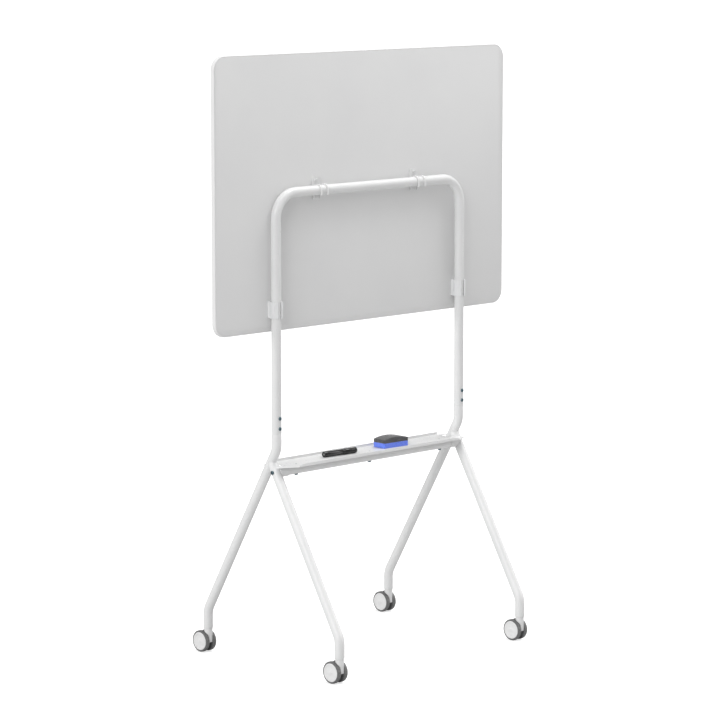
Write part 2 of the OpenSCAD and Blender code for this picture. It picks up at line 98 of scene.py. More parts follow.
TUBE_R = span("crossbar").z / 2
TUBE_WALL = 1.5 * MM
UPRIGHT_X = middle("right_joint_sleeve").x
UPRIGHT_Y = middle("right_joint_sleeve").y
SEAM_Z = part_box("hoop_tube")[0].z
BAR_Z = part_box("hoop_tube")[1].z - TUBE_R
LEG_END_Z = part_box("right_front_leg")[0].z
FRONT_FOOT_Y = middle("front_right_caster_stem").y
REAR_FOOT_Y = middle("rear_right_caster_stem").y
FRAME_Y = (FRONT_FOOT_Y + REAR_FOOT_Y) / 2
HOOP_BEND_R = 75 * MM
LEG_BEND_R = 60 * MM
FOOT_BEND_Z = 129.5 * MM
LEG_SLOPE = math.tan(math.radians(30))
KNEE_Z = FOOT_BEND_Z + (UPRIGHT_Y - FRONT_FOOT_Y) / LEG_SLOPE
CROSSING_Z = FOOT_BEND_Z + (REAR_FOOT_Y - FRAME_Y) / LEG_SLOPE


# ---------------------------------------------------------------- materials

class Look:
    """A Principled material whose nodes read object-space positions in metres."""

    def __init__(self, name, colour, roughness, **sockets):
        self.material = bpy.data.materials.new(name)
        self.material.use_nodes = True
        self.material.diffuse_color = (*colour, 1)
        tree = self.material.node_tree
        self.nodes, self.links = tree.nodes, tree.links
        self.shader = self.nodes["Principled BSDF"]
        self.shader.inputs["Base Color"].default_value = (*colour, 1)
        self.shader.inputs["Roughness"].default_value = roughness
        for socket, value in sockets.items():
            name = socket.replace("_", " ").title().replace("Ior", "IOR")
            self.shader.inputs[name].default_value = value
        self.position = self.nodes.new("ShaderNodeTexCoord").outputs["Object"]
        self.last_normal = None

    def math(self, operation, a, b=0.0, c=0.0):
        node = self.nodes.new("ShaderNodeMath")
        node.operation = operation
        for socket, value in zip(node.inputs, (a, b, c)):
            if isinstance(value, (int, float)):
                socket.default_value = value
            else:
                self.links.new(value, socket)
        return node.outputs[0]

    def stretched(self, scale):
        node = self.nodes.new("ShaderNodeMapping")
        node.inputs["Scale"].default_value = scale
        self.links.new(self.position, node.inputs["Vector"])
        return node.outputs["Vector"]

    def noise(self, size, detail=3.0, stretch=(1, 1, 1), distortion=0.0):
        """Noise with features about size metres across, longer by 1/stretch along each axis."""
        node = self.nodes.new("ShaderNodeTexNoise")
        self.links.new(self.stretched([s / size for s in stretch]), node.inputs["Vector"])
        node.inputs["Scale"].default_value = 1
        node.inputs["Detail"].default_value = detail
        node.inputs["Distortion"].default_value = distortion
        return node.outputs["Fac"]

    def cells(self, size, stretch=(1, 1, 1)):
        node = self.nodes.new("ShaderNodeTexVoronoi")
        self.links.new(self.stretched([s / size for s in stretch]), node.inputs["Vector"])
        node.inputs["Scale"].default_value = 1
        return node.outputs["Distance"]

    def coordinates(self):
        node = self.nodes.new("ShaderNodeSeparateXYZ")
        self.links.new(self.position, node.inputs[0])
        return node.outputs[0], node.outputs[1], node.outputs[2]

    def axle_distance(self):
        """Distance from the piece's own X axis."""
        x, y, z = self.coordinates()
        squares = self.math("ADD", self.math("MULTIPLY", y, y), self.math("MULTIPLY", z, z))
        return self.math("SQRT", squares)

    def ranged(self, value, low, high, to_low=0.0, to_high=1.0):
        node = self.nodes.new("ShaderNodeMapRange")
        self.links.new(value, node.inputs["Value"])
        node.inputs["From Min"].default_value = low
        node.inputs["From Max"].default_value = high
        node.inputs["To Min"].default_value = to_low
        node.inputs["To Max"].default_value = to_high
        return node.outputs[0]

    def mixed(self, factor, a, b):
        """Colour a where factor is 0 and b where it is 1. a and b are colours or sockets."""
        node = self.nodes.new("ShaderNodeMix")
        node.data_type = "RGBA"
        self.links.new(factor, node.inputs[0])
        for socket, value in ((node.inputs[6], a), (node.inputs[7], b)):
            if isinstance(value, tuple):
                socket.default_value = (*value, 1)
            else:
                self.links.new(value, socket)
        return node.outputs[2]

    def paint(self, colour):
        self.links.new(colour, self.shader.inputs["Base Color"])

    def rough(self, value, low, high):
        self.links.new(self.ranged(value, 0.3, 0.7, low, high), self.shader.inputs["Roughness"])

    def bump(self, height, depth, strength=1.0):
        """Raises the surface by up to depth metres where height is 1."""
        node = self.nodes.new("ShaderNodeBump")
        node.inputs["Strength"].default_value = strength
        node.inputs["Distance"].default_value = depth
        self.links.new(height, node.inputs["Height"])
        if self.last_normal:
            self.links.new(self.last_normal, node.inputs["Normal"])
        self.last_normal = node.outputs["Normal"]
        self.links.new(self.last_normal, self.shader.inputs["Normal"])


def grey(value):
    return (value, value, value)


def powder_coat():
    look = Look("powder_coat", grey(0.735), 0.32, specular_ior_level=0.5)
    cloud = look.noise(0.09, 4)
    peel = look.noise(0.0011, 2)
    grain = look.noise(0.00035, 2)
    look.paint(look.mixed(look.ranged(cloud, 0.3, 0.7), (0.72, 0.723, 0.725), (0.75, 0.75, 0.748)))
    look.rough(look.noise(0.006, 3), 0.27, 0.37)
    look.bump(peel, 0.00006)
    look.bump(grain, 0.000012)
    return look.material


def back_laminate():
    look = Look("back_laminate", grey(0.725), 0.5, specular_ior_level=0.4)
    cloud = look.noise(0.25, 5)
    pebble = look.cells(0.0009)
    look.paint(look.mixed(look.ranged(cloud, 0.3, 0.7), (0.715, 0.715, 0.717), (0.74, 0.74, 0.738)))
    look.rough(look.noise(0.02, 3), 0.46, 0.56)
    look.bump(pebble, 0.00003)
    look.bump(look.noise(0.0005, 2), 0.00001)
    return look.material


def writing_enamel():
    """Gloss white with the faint, mostly sideways haze that wiping leaves."""
    look = Look("writing_enamel", grey(0.86), 0.12, coat_weight=0.6, coat_roughness=0.05)
    haze = look.noise(0.05, 5, (0.16, 1, 1), 0.6)
    ghost = look.noise(0.012, 4, (0.35, 1, 0.8), 1.2)
    look.paint(look.mixed(look.ranged(ghost, 0.45, 0.8), (0.87, 0.872, 0.875), (0.835, 0.84, 0.85)))
    look.rough(haze, 0.09, 0.2)
    look.bump(look.noise(0.045, 2), 0.00008)
    return look.material


def edge_band_plastic():
    look = Look("edge_band_plastic", grey(0.735), 0.4)
    drawn = look.noise(0.0004, 3, (0.06, 1, 0.06))
    look.paint(look.mixed(look.ranged(look.noise(0.12, 3), 0.3, 0.7), grey(0.725), grey(0.745)))
    look.rough(drawn, 0.34, 0.46)
    look.bump(drawn, 0.00001)
    return look.material


def clip_plastic():
    look = Look("clip_plastic", grey(0.74), 0.3, coat_weight=0.2, coat_roughness=0.2)
    flow = look.noise(0.006, 3, (1, 1, 0.15))
    look.paint(look.mixed(look.ranged(flow, 0.3, 0.7), (0.71, 0.715, 0.72), (0.755, 0.76, 0.765)))
    look.rough(flow, 0.24, 0.36)
    look.bump(look.noise(0.0006, 2), 0.000012)
    return look.material


def moulded_white(name, value, roughness):
    look = Look(name, grey(value), roughness)
    cloud = look.ranged(look.noise(0.011, 3), 0.3, 0.7)
    look.paint(look.mixed(cloud, grey(value - 0.02), grey(value + 0.012)))
    look.rough(look.noise(0.003, 3), roughness - 0.05, roughness + 0.06)
    look.bump(look.cells(0.00045), 0.000018)
    return look.material


def tyre_rubber():
    """Grey tread: dustier where it rolls, with fine scuffs. The wheel turns about its own X axis."""
    look = Look("tyre_rubber", grey(0.13), 0.62, sheen_weight=0.08)
    tread = look.ranged(look.axle_distance(), 31.4 * MM, 32.4 * MM)
    scuffs = look.ranged(look.noise(0.0016, 4, (0.25, 1, 1)), 0.42, 0.72)
    base = look.mixed(look.ranged(look.noise(0.008, 4), 0.3, 0.7), (0.115, 0.116, 0.118), (0.15, 0.15, 0.152))
    look.paint(look.mixed(look.math("MULTIPLY", tread, scuffs), base, (0.235, 0.232, 0.225)))
    look.rough(look.noise(0.002, 3), 0.54, 0.72)
    look.bump(look.noise(0.0005, 3), 0.00003)
    return look.material


def steel(name, colour, roughness, stretch):
    look = Look(name, colour, roughness, metallic=1.0)
    drawn = look.noise(0.0007, 3, stretch)
    darker = tuple(0.82 * c for c in colour)
    look.paint(look.mixed(look.ranged(look.noise(0.004, 4), 0.3, 0.7), darker, colour))
    look.rough(drawn, roughness - 0.08, roughness + 0.1)
    look.bump(drawn, 0.00001)
    return look.material


def fibreboard():
    look = Look("fibreboard", (0.62, 0.48, 0.33), 0.85)
    fibre = look.noise(0.0016, 6, (0.3, 1, 0.3), 0.8)
    look.paint(look.mixed(look.ranged(fibre, 0.3, 0.7), (0.5, 0.38, 0.25), (0.68, 0.54, 0.38)))
    look.bump(fibre, 0.0001)
    return look.material


def pen_plastic(name, value):
    """Black plastic, with a pale dot painted in the middle of the barrel's closed end as a painted highlight.
    The pen lies along its own X axis.
    """
    look = Look(name, grey(value), 0.15)
    disc = look.ranged(look.axle_distance(), 3.8 * MM, 3.6 * MM)
    end = look.ranged(look.coordinates()[0], 60.6 * MM, 60.8 * MM)
    # pale dot in the middle of the closed end: a painted highlight, not a separate part
    painted_highlight_dot = look.math("MULTIPLY", disc, end)
    black = look.mixed(look.ranged(look.noise(0.007, 3), 0.3, 0.7), grey(value * 0.8), grey(value * 1.25))
    look.paint(look.mixed(painted_highlight_dot, black, grey(0.22)))
    look.rough(look.noise(0.002, 4, (0.2, 1, 1)), 0.1, 0.2)
    look.bump(look.noise(0.0004, 2), 0.00001)
    return look.material


def eraser_felt():
    """Pressed blue felt: tangled fibres, paler on the fuzz."""
    look = Look("eraser_felt", (0.10, 0.18, 0.78), 0.95, sheen_weight=0.5, sheen_roughness=0.5)
    fibres = look.noise(0.0007, 6, (0.4, 1, 1), 1.6)
    tufts = look.noise(0.003, 5, (1, 1, 0.6), 0.8)
    body = look.mixed(look.ranged(fibres, 0.3, 0.7), (0.055, 0.11, 0.62), (0.15, 0.26, 0.95))
    look.paint(look.mixed(look.ranged(tufts, 0.4, 0.75, 0, 0.5), body, (0.22, 0.36, 0.98)))
    look.bump(fibres, 0.00025)
    look.bump(tufts, 0.0003, 0.6)
    return look.material


def eraser_cloth():
    """Dark grey woven cover of the eraser's grip, its threads running along and across."""
    look = Look("eraser_cloth", grey(0.06), 0.78, sheen_weight=0.3, sheen_roughness=0.4)
    along = look.noise(0.0007, 3, (0.08, 1, 1), 0.3)
    across = look.noise(0.0009, 3, (1, 0.1, 1), 0.3)
    weave = look.math("MAXIMUM", along, across)
    streaks = look.noise(0.0035, 4, (0.12, 1, 1), 0.4)
    body = look.mixed(look.ranged(weave, 0.4, 0.75), (0.035, 0.035, 0.037), (0.105, 0.105, 0.108))
    look.paint(look.mixed(look.ranged(streaks, 0.45, 0.8, 0, 0.55), body, (0.16, 0.16, 0.165)))
    look.rough(weave, 0.7, 0.88)
    look.bump(weave, 0.00018)
    return look.material


LOOKS = {
    "white_paint": powder_coat(),
    "zinc_steel": steel("zinc_steel", (0.68, 0.69, 0.70), 0.34, (1, 1, 0.1)),
    "dark_screw": steel("dark_screw", (0.13, 0.19, 0.22), 0.36, (1, 1, 1)),
    "core": fibreboard(),
    "writing_enamel": writing_enamel(),
    "back_laminate": back_laminate(),
    "edge_plastic": edge_band_plastic(),
    "clip_plastic": clip_plastic(),
    "socket_plastic": moulded_white("socket_plastic", 0.72, 0.42),
    "caster_white": moulded_white("caster_white", 0.74, 0.36),
    "caster_tyre": tyre_rubber(),
    "marker_plastic": pen_plastic("marker_plastic", 0.006),
    "eraser_felt": eraser_felt(),
    "eraser_plastic": eraser_cloth(),
}
SLOT_OF = {part["node"]: part["material_slot"] for part in frame["record"]["subparts"]}

for node, cad_object in frame["nodes"].items():
    cad_object.data.materials.clear()
    cad_object.data.materials.append(LOOKS[SLOT_OF[node]])


# ---------------------------------------------------------------- mesh helpers

SMOOTH_ANGLE = math.radians(32)


def piece_of(name, mesh, body, node, place=None, also=()):
    """A new piece that stands for CAD node (and those in also), rides on body and has the node's slot."""
    obj = bpy.data.objects.new(name, mesh)
    bpy.context.scene.collection.objects.link(obj)
    if place is not None:
        obj.matrix_world = place
    if not mesh.materials:
        mesh.materials.append(LOOKS[SLOT_OF[node]])
    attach(obj, body)
    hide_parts(node, *also)
    return obj


def mesh_from(bm, name, smooth_angle=SMOOTH_ANGLE):
    bmesh.ops.remove_doubles(bm, verts=bm.verts, dist=1e-7)
    bmesh.ops.recalc_face_normals(bm, faces=bm.faces)
    mesh = bpy.data.meshes.new(name)
    bm.to_mesh(mesh)
    bm.free()
    mesh.shade_smooth()
    mesh.set_sharp_from_angle(angle=smooth_angle)
    return mesh


def skin(bm, rings, close_rows=False, caps=False):
    """Quads between rings of the same number of points."""
    rows = [[bm.verts.new(point) for point in ring] for ring in rings]
    pairs = list(zip(rows, rows[1:]))
    if close_rows:
        pairs.append((rows[-1], rows[0]))
    for a, b in pairs:
        for i in range(len(a)):
            j = (i + 1) % len(a)
            bm.faces.new((a[i], a[j], b[j], b[i]))
    if caps:
        bm.faces.new(reversed(rows[0]))
        bm.faces.new(rows[-1])
    return rows


def circle_points(centre, u, v, radius, steps):
    turn = 2 * math.pi / steps
    return [centre + radius * (math.cos(i * turn) * u + math.sin(i * turn) * v) for i in range(steps)]


def bent_path(points, bend_r, step=math.radians(3)):
    """Centres and directions along straight stretches joined by arcs of radius bend_r."""
    points = [Vector(p) for p in points]
    way = (points[1] - points[0]).normalized()
    path = [(points[0], way)]
    for before, corner, after in zip(points, points[1:], points[2:]):
        a = (corner - before).normalized()
        b = (after - corner).normalized()
        turn = a.angle(b)
        trim = bend_r * math.tan(turn / 2)
        axis = a.cross(b).normalized()
        centre = corner - a * trim + axis.cross(a) * bend_r
        arm = corner - a * trim - centre
        count = max(2, round(turn / step))
        for i in range(count + 1):
            turned = Matrix.Rotation(turn * i / count, 3, axis)
            path.append((centre + turned @ arm, turned @ a))
    path.append((points[-1], (points[-1] - points[-2]).normalized()))
    return path


def wall_rings(path, plane_normal, outer_r, inner_r, edge, steps):
    """Rings of a tube's whole wall, from its outside round both ends to its inside."""
    def ring(centre, way, radius):
        return circle_points(centre, plane_normal, plane_normal.cross(way), radius, steps)

    def rounded_end(centre, way, sign):
        for k in range(4):
            angle = math.pi / 2 * k / 3
            back = edge * (1 - math.sin(angle))
            yield ring(centre - way * sign * back, way, outer_r - edge * (1 - math.cos(angle)))

    start, start_way = path[0]
    end, end_way = path[-1]
    rings = list(rounded_end(start, start_way, -1))[::-1]
    rings += [ring(centre, way, outer_r) for centre, way in path[1:-1]]
    rings += list(rounded_end(end, end_way, 1))
    rings += [ring(centre, way, inner_r) for centre, way in reversed(path)]
    return rings


def tube_mesh(name, points, bend_r, plane_normal, edge=0.7 * MM, steps=48):
    bm = bmesh.new()
    path = bent_path(points, bend_r)
    skin(bm, wall_rings(path, plane_normal, TUBE_R, TUBE_R - TUBE_WALL, edge, steps), close_rows=True)
    return mesh_from(bm, name, math.radians(50))


def lathe_mesh(name, profile, steps=64, smooth_angle=SMOOTH_ANGLE):
    """Turns a closed profile of (radius, height) points about the X axis. Height is along X."""
    bm = bmesh.new()
    rings = [circle_points(X_AXIS * h, Y_AXIS, Z_AXIS, max(r, 0), steps) for r, h in profile]
    skin(bm, rings, close_rows=True)
    bmesh.ops.remove_doubles(bm, verts=bm.verts, dist=1e-7)
    flat = [f for f in bm.faces if f.calc_area() < 1e-14]
    bmesh.ops.delete(bm, geom=flat, context="FACES")
    return mesh_from(bm, name, smooth_angle)


def along(direction, at):
    """The placement that carries the X axis to direction and the origin to at."""
    turn = X_AXIS.rotation_difference(Vector(direction)).to_matrix().to_4x4()
    return Matrix.Translation(at) @ turn


def refined(name, node, body, width, segments=3, angle=math.radians(30), also=()):
    """The CAD node's shape with its sharp edges rounded. The nodes in also are joined to it where they
    meet it across its front and rear faces."""
    bm = bmesh.new()
    for part in (node, *also):
        bm.from_mesh(frame["nodes"][part].data)
    bmesh.ops.remove_doubles(bm, verts=bm.verts, dist=2e-6)
    if also:
        seams = [corner.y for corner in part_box(node)]
        inside = [f for f in bm.faces
                  if any(all(abs(v.co.y - seam) < 1e-5 for v in f.verts) for seam in seams)]
        bmesh.ops.delete(bm, geom=inside, context="FACES")
    bmesh.ops.dissolve_limit(bm, angle_limit=math.radians(0.4), verts=bm.verts, edges=bm.edges)
    obj = piece_of(name, mesh_from(bm, name, math.radians(50)), body, node, also=also)
    bevel = obj.modifiers.new("rounded edges", "BEVEL")
    bevel.width = width
    bevel.segments = segments
    bevel.limit_method = "ANGLE"
    bevel.angle_limit = angle
    bevel.harden_normals = True
    return obj


# ---------------------------------------------------------------- tubes of the stand

def upright_point(side, z):
    return (side * UPRIGHT_X, UPRIGHT_Y, z)


def build_tubes():
    hoop = [upright_point(-1, SEAM_Z), upright_point(-1, BAR_Z),
            upright_point(1, BAR_Z), upright_point(1, SEAM_Z)]
    piece_of("hoop", tube_mesh("hoop", hoop, HOOP_BEND_R, Y_AXIS), "stand", "hoop_tube")
    for name, side in SIDES.items():
        x = side * UPRIGHT_X
        front = [upright_point(side, SEAM_Z), upright_point(side, KNEE_Z),
                 (x, FRONT_FOOT_Y, FOOT_BEND_Z), (x, FRONT_FOOT_Y, LEG_END_Z)]
        rear = [(x, FRAME_Y, CROSSING_Z), (x, REAR_FOOT_Y, FOOT_BEND_Z), (x, REAR_FOOT_Y, LEG_END_Z)]
        piece_of(f"{name}_front_leg_tube", tube_mesh("front_leg", front, LEG_BEND_R, X_AXIS),
                 "stand", f"{name}_front_leg")
        piece_of(f"{name}_rear_leg_tube", tube_mesh("rear_leg", rear, LEG_BEND_R, X_AXIS),
                 "stand", f"{name}_rear_leg")


def bead_mesh(name, points, radius, ripple=0.16, steps=10):
    """A closed weld bead along a loop of points, with the ripples that a torch leaves."""
    bm = bmesh.new()
    rings = []
    count = len(points)
    for i, point in enumerate(points):
        way = (points[(i + 1) % count] - points[i - 1]).normalized()
        side = way.orthogonal().normalized()
        swell = radius * (1 + ripple * math.sin(i * 2 * math.pi * 0.37) + 0.1 * noise.noise(point * 900))
        frame_u = side - way * side.dot(way)
        if rings:
            frame_u = last_u - way * last_u.dot(way)
        last_u = frame_u.normalized()
        rings.append(circle_points(point, last_u, way.cross(last_u), swell, steps))
    skin(bm, rings, close_rows=True)
    return mesh_from(bm, name, math.radians(70))


def leg_weld_loop(x, steps=110):
    """Where the rear leg's surface leaves the front leg's: half in the plane y = FRAME_Y below the
    crossing, half in the plane z = CROSSING_Z behind it."""
    tall = TUBE_R / math.sin(math.atan(LEG_SLOPE))
    deep = TUBE_R / math.cos(math.atan(LEG_SLOPE))
    loop = []
    for i in range(steps):
        turn = 2 * math.pi * i / steps
        across = x + TUBE_R * math.cos(turn)
        lift = math.sin(turn)
        if lift >= 0:
            loop.append(Vector((across, FRAME_Y + deep * lift, CROSSING_Z)))
        else:
            loop.append(Vector((across, FRAME_Y, CROSSING_Z + tall * lift)))
    return loop


def build_welds():
    for name, side in SIDES.items():
        mesh = bead_mesh("leg_weld", leg_weld_loop(side * UPRIGHT_X), 0.9 * MM)
        mesh.materials.append(LOOKS["white_paint"])
        weld = bpy.data.objects.new(f"{name}_leg_weld", mesh)
        bpy.context.scene.collection.objects.link(weld)
        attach(weld, "stand")


build_tubes()
build_welds()
refined("crossbar_tube", "crossbar", "stand", 0.4 * MM, 2)
refined("crossbar_end_cups", "crossbar_saddles", "stand", 0.5 * MM)
refined("pen_tray", "tray", "stand", 0.45 * MM, also=("tray_lips",))


# ---------------------------------------------------------------- screws

def hexagon_r(angle, flat_r):
    sector = math.radians(60)
    return flat_r / math.cos((angle + sector / 2) % sector - sector / 2)


def screw_rings(head_r, head_t, shank_r, shank, steps=48):
    """Rings of a button-head screw along X: shank below 0, head above, with a hexagonal socket."""
    socket = head_r * 0.42
    round_rings = [(0, -shank), (shank_r - 0.3 * MM, -shank), (shank_r, 0.3 * MM - shank), (shank_r, 0),
                   (head_r - 0.15 * MM, 0), (head_r, 0.15 * MM), (head_r, head_t * 0.2)]
    for k in range(1, 7):
        angle = math.radians(62) * k / 6
        round_rings.append((head_r * (1 - 0.42 * (1 - math.cos(angle)) * 1.25),
                            head_t * (0.2 + 0.8 * math.sin(angle) / math.sin(math.radians(62)))))
    rings = [circle_points(X_AXIS * h, Y_AXIS, Z_AXIS, r, steps) for r, h in round_rings]
    turn = 2 * math.pi / steps
    for grow, h in ((1.12, head_t), (1.0, head_t - 0.2 * MM), (1.0, head_t * 0.42), (0.02, head_t * 0.36)):
        ring = []
        for i in range(steps):
            r = hexagon_r(i * turn, socket) * grow
            ring.append(Vector((h, r * math.cos(i * turn), r * math.sin(i * turn))))
        rings.append(ring)
    return rings


def screws(name, node, body, seats, head_r, head_t, shank_r, shank):
    """One piece holding a button-head screw at each seat, given as (place, direction of the head)."""
    bm = bmesh.new()
    for k, (at, direction) in enumerate(seats):
        place = along(direction, at) @ Matrix.Rotation(0.7 * k + 0.3, 4, "X")
        rings = screw_rings(head_r, head_t, shank_r, shank)
        skin(bm, [[place @ p for p in ring] for ring in rings], caps=True)
    return piece_of(name, mesh_from(bm, name, math.radians(28)), body, node)


SCREW_HEAD_R = 5.5 * MM
SCREW_R = 2.5 * MM
BOLT_HEAD_R = 6 * MM
BOARD_SCREW_HEAD_R = 4.5 * MM
BOARD_SCREW_HEAD_T = 2.4 * MM
BOARD_SCREW_R = 2 * MM


def build_screws():
    low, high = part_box("joint_screws")
    joint_heights = (low.z + SCREW_HEAD_R, high.z - SCREW_HEAD_R)
    face_y = UPRIGHT_Y + TUBE_R
    seats = [(Vector((s * UPRIGHT_X, face_y, z)), Y_AXIS) for s in (-1, 1) for z in joint_heights]
    screws("joint_screw_set", "joint_screws", "stand", seats,
           SCREW_HEAD_R, high.y - face_y, SCREW_R, face_y - low.y)

    low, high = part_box("crossbar_bolts")
    face_x = UPRIGHT_X + TUBE_R
    axis = middle("crossbar_bolts")
    seats = [(Vector((s * face_x, axis.y, axis.z)), s * X_AXIS) for s in (-1, 1)]
    screws("crossbar_bolt_set", "crossbar_bolts", "stand", seats, BOLT_HEAD_R, high.x - face_x, 3 * MM,
           face_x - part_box("crossbar")[1].x + 12 * MM)

    low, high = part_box("tray_screws")
    face_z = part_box("crossbar")[0].z
    reach = high.x - SCREW_HEAD_R
    seats = [(Vector((k * reach, middle("tray_screws").y, face_z)), -Z_AXIS) for k in (-1, 0, 1)]
    screws("tray_screw_set", "tray_screws", "stand", seats,
           SCREW_HEAD_R, face_z - low.z, SCREW_R, high.z - face_z)

    for name, node in (("hook_screw_set", "hook_screws"), ("clip_screw_set", "clip_screws")):
        low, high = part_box(node)
        seat_y = high.y - BOARD_SCREW_HEAD_T
        x = high.x - BOARD_SCREW_HEAD_R
        heights = (low.z + BOARD_SCREW_HEAD_R, high.z - BOARD_SCREW_HEAD_R)
        seats = [(Vector((s * x, seat_y, z)), Y_AXIS) for s in (-1, 1) for z in heights]
        screws(name, node, "board", seats,
               BOARD_SCREW_HEAD_R, BOARD_SCREW_HEAD_T, BOARD_SCREW_R, seat_y - low.y)


build_screws()


# ---------------------------------------------------------------- board

BOARD_LOW, BOARD_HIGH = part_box("edge_band")
BOARD_CORNER_R = 40 * MM  # the real board's corners, which are sharper than the CAD's
BAND_WALL = 1.2 * MM
BAND_FLANGE = 3.2 * MM
BAND_ROUND = 2.2 * MM
SHEET_T = 0.8 * MM
PANEL_INSET = BAND_FLANGE + 0.15 * MM


def board_outline(inset, y, arc_steps=24):
    """Rounded rectangle of the board's outline, drawn inward by inset, at depth y."""
    r = BOARD_CORNER_R - inset
    corners = []
    x0, x1 = BOARD_LOW.x + BOARD_CORNER_R, BOARD_HIGH.x - BOARD_CORNER_R
    z0, z1 = BOARD_LOW.z + BOARD_CORNER_R, BOARD_HIGH.z - BOARD_CORNER_R
    for quarter, (cx, cz) in enumerate(((x1, z1), (x0, z1), (x0, z0), (x1, z0))):
        for i in range(arc_steps + 1):
            angle = math.pi / 2 * (quarter + i / arc_steps)
            corners.append(Vector((cx + r * math.cos(angle), y, cz + r * math.sin(angle))))
    return corners


def band_profile():
    """The band's section as (inset, depth) points: a channel with rounded outer edges."""
    front, back = BOARD_LOW.y, BOARD_HIGH.y
    section = []
    for k in range(7):
        angle = math.pi / 2 * k / 6
        section.append((BAND_ROUND * (1 - math.sin(angle)), front + BAND_ROUND * (1 - math.cos(angle))))
    for k in range(7):
        angle = math.pi / 2 * k / 6
        section.append((BAND_ROUND * (1 - math.cos(angle)), back - BAND_ROUND * (1 - math.sin(angle))))
    lip = 0.25 * MM
    section += [(BAND_FLANGE - lip, back), (BAND_FLANGE, back - lip), (BAND_FLANGE, back - SHEET_T),
                (BAND_WALL, back - SHEET_T), (BAND_WALL, front + SHEET_T), (BAND_FLANGE, front + SHEET_T),
                (BAND_FLANGE, front + lip), (BAND_FLANGE - lip, front)]
    return section


def build_board():
    bm = bmesh.new()
    skin(bm, [board_outline(inset, y) for inset, y in band_profile()], close_rows=True)
    piece_of("board_edge_band", mesh_from(bm, "board_edge_band"), "board", "edge_band")
    edge = 0.2 * MM
    for name, node, face, depth in (("board_back", "back_panel", BOARD_HIGH.y, -SHEET_T),
                                    ("board_writing_face", "writing_sheet", BOARD_LOW.y, SHEET_T)):
        sign = math.copysign(1, depth)
        bm = bmesh.new()
        steps = ((PANEL_INSET, face + depth), (PANEL_INSET, face + sign * edge),
                 (PANEL_INSET + edge * 0.3, face + sign * edge * 0.3), (PANEL_INSET + edge, face))
        skin(bm, [board_outline(inset, y) for inset, y in steps], caps=True)
        piece_of(name, mesh_from(bm, name), "board", node)


build_board()
for side_name in SIDES:
    refined(f"{side_name}_hook_plate", f"{side_name}_hook_bracket", "board", 0.5 * MM)
    refined(f"{side_name}_upright_clip", f"{side_name}_tube_clip", "board", 0.5 * MM)


# ---------------------------------------------------------------- casters

WHEEL_R = span("front_left_caster_outer_tyre").z / 2
WHEEL_HALF = span("front_left_caster_outer_hub").x / 2


def hub_profile():
    """Hub section in (radius, distance from the wheel's middle plane), the outer face at +."""
    w = WHEEL_HALF / MM
    rim = 27.2
    points = [(3.05, -w), (6.8, -w), (7, 0.2 - w), (7, 3.2), (7.3, 3.4), (24.2, 3.4), (24.6, 3),
              (24.6, 2.1 - w), (24.8, 1.9 - w), (26.9, 1.9 - w), (rim, 2.2 - w), (rim, w - 1.5)]
    points += [(rim - 1.4 * (1 - math.cos(a)), w - 1.5 + 1.5 * math.sin(a))
               for a in (math.radians(d) for d in (25, 50, 75, 90))]
    points += [(23.4, w), (22.7, w - 0.15), (22.3, w - 0.5), (22.05, w - 0.95), (21.6, w - 1.15),
               (12, w - 1.2), (5.6, w - 1.2), (5.2, w - 1.05), (4.9, w - 0.7), (4.4, w - 0.45),
               (2.2, w - 0.33), (0, w - 0.3), (0, w - 3), (3.05, w - 3)]
    return [(r * MM, h * MM) for r, h in points]


def tyre_profile():
    """Tyre section: a tread with round shoulders and grooves, and a thin dark cover over the hub's inner side,
    a dark sheet standing in for the shade in the gap between the twin wheels (painted shade).
    """
    low = (0.3 * MM - WHEEL_HALF) / MM
    high = (WHEEL_HALF - 0.9 * MM) / MM
    top = WHEEL_R / MM
    # the first points, from radius 27.25 mm in to 12 mm on the inner side, draw that dark cover: painted shade
    # between the wheels
    points = [(27.25, low + 1.6), (12.2, low + 1.6), (12, low + 1.4), (12, low + 0.2), (12.2, low),
              (20, low), (20.3, low + 0.4), (21.2, low + 0.4), (21.5, low),
              (28.6, low), (28.9, low + 0.25), (29.1, low + 0.25), (29.4, low)]
    points += [(top - 3 + 3 * math.sin(a), low + 3 - 3 * math.cos(a)) for a in
               (math.radians(d) for d in (10, 30, 50, 70, 88))]
    points += [(top, low + 3.3), (top - 0.5, low + 3.6), (top - 0.5, low + 4.2), (top, low + 4.5),
               (top, high - 4.5), (top - 0.5, high - 4.2), (top - 0.5, high - 3.6), (top, high - 3.3)]
    points += [(top - 3 + 3 * math.cos(a), high - 3 + 3 * math.sin(a)) for a in
               (math.radians(d) for d in (2, 20, 40, 60, 80))]
    points += [(29.4, high), (29.1, high - 0.25), (28.9, high - 0.25), (28.6, high), (27.25, high)]
    return [(r * MM, h * MM) for r, h in points]


def build_casters():
    hub = lathe_mesh("caster_hub", hub_profile(), 72)
    tyre = lathe_mesh("caster_tyre", tyre_profile(), 96, math.radians(40))
    for foot in FEET:
        caster = f"{foot}_caster"
        refined(f"{caster}_fork", f"{caster}_housing", caster, 0.9 * MM)
        refined(f"{caster}_end_plug", f"{caster}_socket", "stand", 0.6 * MM)
        for wheel in ("outer", "inner"):
            at = middle(f"{caster}_{wheel}_hub")
            face = X_AXIS if at.x > middle(f"{caster}_housing").x else -X_AXIS
            turn = Matrix.Rotation(0 if face.x > 0 else math.pi, 4, "Z")
            place = Matrix.Translation(at) @ turn
            body = f"{foot}_{wheel}_wheel"
            piece_of(f"{foot}_{wheel}_wheel_disc", hub, body, f"{caster}_{wheel}_hub", place)
            piece_of(f"{foot}_{wheel}_wheel_tyre", tyre, body, f"{caster}_{wheel}_tyre", place)


build_casters()


# ---------------------------------------------------------------- marker and eraser

